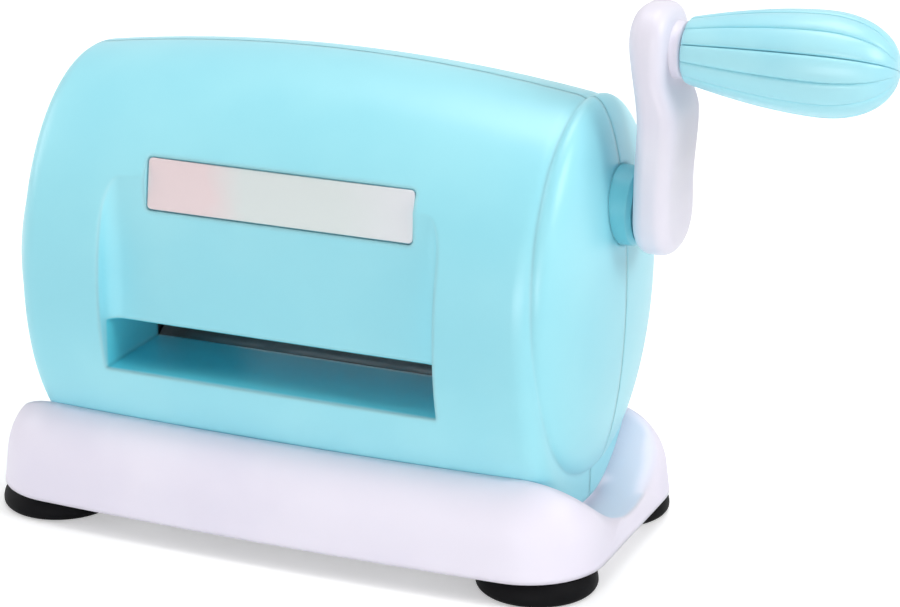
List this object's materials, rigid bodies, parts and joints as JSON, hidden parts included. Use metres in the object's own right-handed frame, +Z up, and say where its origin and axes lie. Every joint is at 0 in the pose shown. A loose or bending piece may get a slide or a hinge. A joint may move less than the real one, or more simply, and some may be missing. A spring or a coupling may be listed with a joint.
{
  "type": "die cutting machine",
  "caption": "Table-top paper die cutting machine: barrel housing with a feed slot and geared rollers on a suction-cup base, turned by a side crank with a free-spinning grip.",
  "frame": {"origin": "on the table, below the middle of the base and of the feed slot", "axes": "+X along the rollers towards the crank, +Y to the rear, +Z up"},
  "size_m": [0.2013, 0.0778, 0.1271],
  "materials": {
    "housing_blue": "satin moulded plastic, pale turquoise",
    "base_white": "satin moulded plastic, cool white",
    "crank_white": "satin moulded plastic, cool white",
    "grip_blue": "satin moulded plastic, pale turquoise",
    "cup_rubber": "soft black rubber",
    "label_plate": "bare pale plate",
    "inner_plastic": "plain moulded cover",
    "frame_steel": "plated sheet steel",
    "roller_steel": "turned steel",
    "gear_steel": "sintered steel",
    "bush_bronze": "sintered bronze",
    "fastener_steel": "bright plated steel"
  },
  "bodies": {
    "machine": {"base_shell": "base_white", "bottom_plate": "inner_plastic", "bottom_plate_screws": "fastener_steel", "suction_cup_front_left": "cup_rubber", "suction_cup_front_right": "cup_rubber", "suction_cup_rear_left": "cup_rubber", "suction_cup_rear_right": "cup_rubber", "front_shell": "housing_blue", "rear_shell": "housing_blue", "label_plate": "label_plate", "shaft_collar": "housing_blue", "housing_screws": "fastener_steel", "left_side_plate": "frame_steel", "right_side_plate": "frame_steel", "front_tie_rod": "frame_steel", "rear_tie_rod": "frame_steel", "tie_rod_screws": "fastener_steel", "frame_screws": "fastener_steel", "upper_left_bush": "bush_bronze", "upper_right_bush": "bush_bronze", "lower_left_bush": "bush_bronze", "lower_right_bush": "bush_bronze", "crank_bush": "bush_bronze"},
    "crank": {"crank_shaft": "roller_steel", "crank_pinion": "gear_steel", "crank_retaining_ring": "fastener_steel", "crank_arm": "crank_white", "grip_pin": "roller_steel"},
    "upper_roller": {"upper_roller": "roller_steel", "drive_gear": "gear_steel", "upper_roller_gear": "gear_steel", "upper_retaining_rings": "fastener_steel"},
    "lower_roller": {"lower_roller": "roller_steel", "lower_roller_gear": "gear_steel", "lower_retaining_rings": "fastener_steel"},
    "grip": {"grip_upper_half": "grip_blue", "grip_lower_half": "grip_blue"}
  },
  "joints": [
    {"name": "crank_turn", "type": "hinge", "parent": "machine", "child": "crank", "pos_m": [0.0738, 0, 0.0808], "axis": [1, 0, 0], "continuous": true},
    {"name": "upper_roller_turn", "type": "hinge", "parent": "machine", "child": "upper_roller", "pos_m": [0, 0, 0.05665], "axis": [1, 0, 0], "continuous": true},
    {"name": "lower_roller_turn", "type": "hinge", "parent": "machine", "child": "lower_roller", "pos_m": [0, 0, 0.0305], "axis": [1, 0, 0], "continuous": true},
    {"name": "grip_spin", "type": "hinge", "parent": "crank", "child": "grip", "pos_m": [0.1, 0, 0.116], "axis": [1, 0, 0], "continuous": true}
  ],
  "couplings": [
    {"joint": "upper_roller_turn", "follows": "crank_turn", "ratio": -0.33333},
    {"joint": "lower_roller_turn", "follows": "crank_turn", "ratio": 0.33333}
  ]
}
